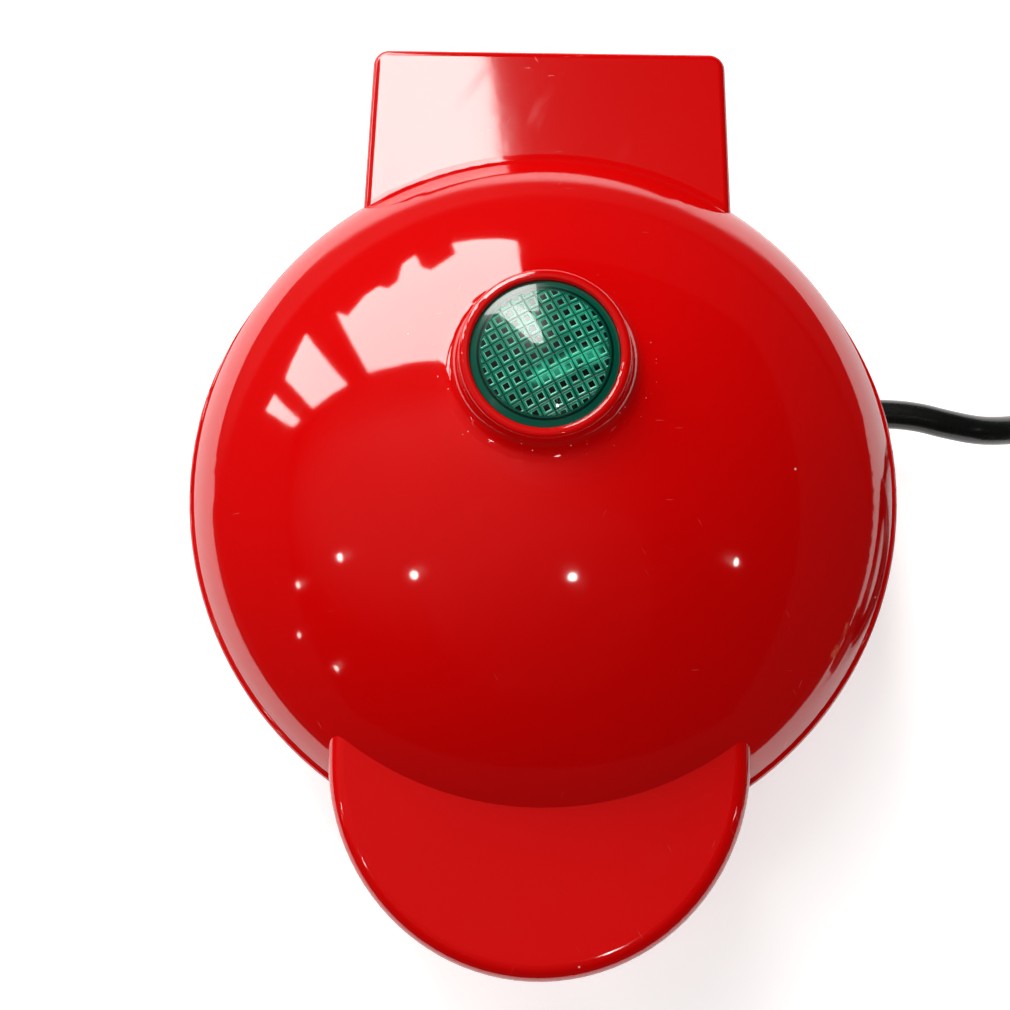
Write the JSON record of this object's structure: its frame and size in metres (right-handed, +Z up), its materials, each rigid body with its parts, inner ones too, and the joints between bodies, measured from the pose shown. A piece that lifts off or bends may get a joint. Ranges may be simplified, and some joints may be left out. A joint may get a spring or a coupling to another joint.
{
  "type": "bubble waffle maker",
  "caption": "Small round bubble waffle maker: domed lid hinged at the rear, round lens on top, front handle tabs, studded plates inside and a mains lead.",
  "frame": {"origin": "middle of the footprint of the body, feet on z = 0, without the mains lead", "axes": "+Z up, -Y towards the front handle, +Y towards the hinge, the lead leaves towards +X"},
  "size_m": [0.2545, 0.1688, 0.0696],
  "materials": {
    "red_plastic": "polished moulding",
    "lens_green": "clear tinted, prismatic inside",
    "nonstick": "cast, with a dark non-stick coating",
    "screw_steel": "zinc plated",
    "element_sheath": "heat dulled sheath",
    "reflector_sheet": "bright sheet",
    "black_plastic": "fine texture",
    "cord_black": "smooth flexible jacket",
    "foot_rubber": "matte",
    "wire_sleeving": "varnished glass-fibre sleeving",
    "core_jacket": "smooth insulation",
    "terminal_white": "smooth",
    "terminal_brass": "bright",
    "lamp_glass": "clear"
  },
  "bodies": {
    "base": {"lower_housing": "red_plastic", "base_cover": "black_plastic", "cover_screws": "screw_steel", "rubber_feet": "foot_rubber", "lower_plate": "nonstick", "lower_plate_screws": "screw_steel", "lower_element": "element_sheath", "lower_reflector": "reflector_sheet", "lower_reflector_screws": "screw_steel", "thermostat": "reflector_sheet", "thermal_fuse": "wire_sleeving", "hinge_pins": "screw_steel", "hinge_wire_sleeve": "wire_sleeving", "lower_wiring": "wire_sleeving", "terminal_block": "terminal_white", "terminal_screws": "terminal_brass", "cord_cores": "core_jacket", "inner_cord": "cord_black", "cord_bush": "cord_black", "cord_clamp": "black_plastic", "clamp_screws": "screw_steel", "mains_cord": "cord_black", "cord_coil": "cord_black", "plug_body": "cord_black", "plug_pins": "terminal_brass"},
    "lid": {"upper_housing": "red_plastic", "upper_plate": "nonstick", "upper_plate_screws": "screw_steel", "upper_element": "element_sheath", "upper_reflector": "reflector_sheet", "upper_reflector_screws": "screw_steel", "indicator_lens": "lens_green", "lamp_holder": "black_plastic", "indicator_lamp": "lamp_glass", "upper_wiring": "wire_sleeving"}
  },
  "joints": [
    {"name": "lid_hinge", "type": "hinge", "parent": "base", "child": "lid", "pos_m": [0, 0.0742, 0.028], "axis": [-1, 0, 0], "range_deg": [0, 100]}
  ]
}
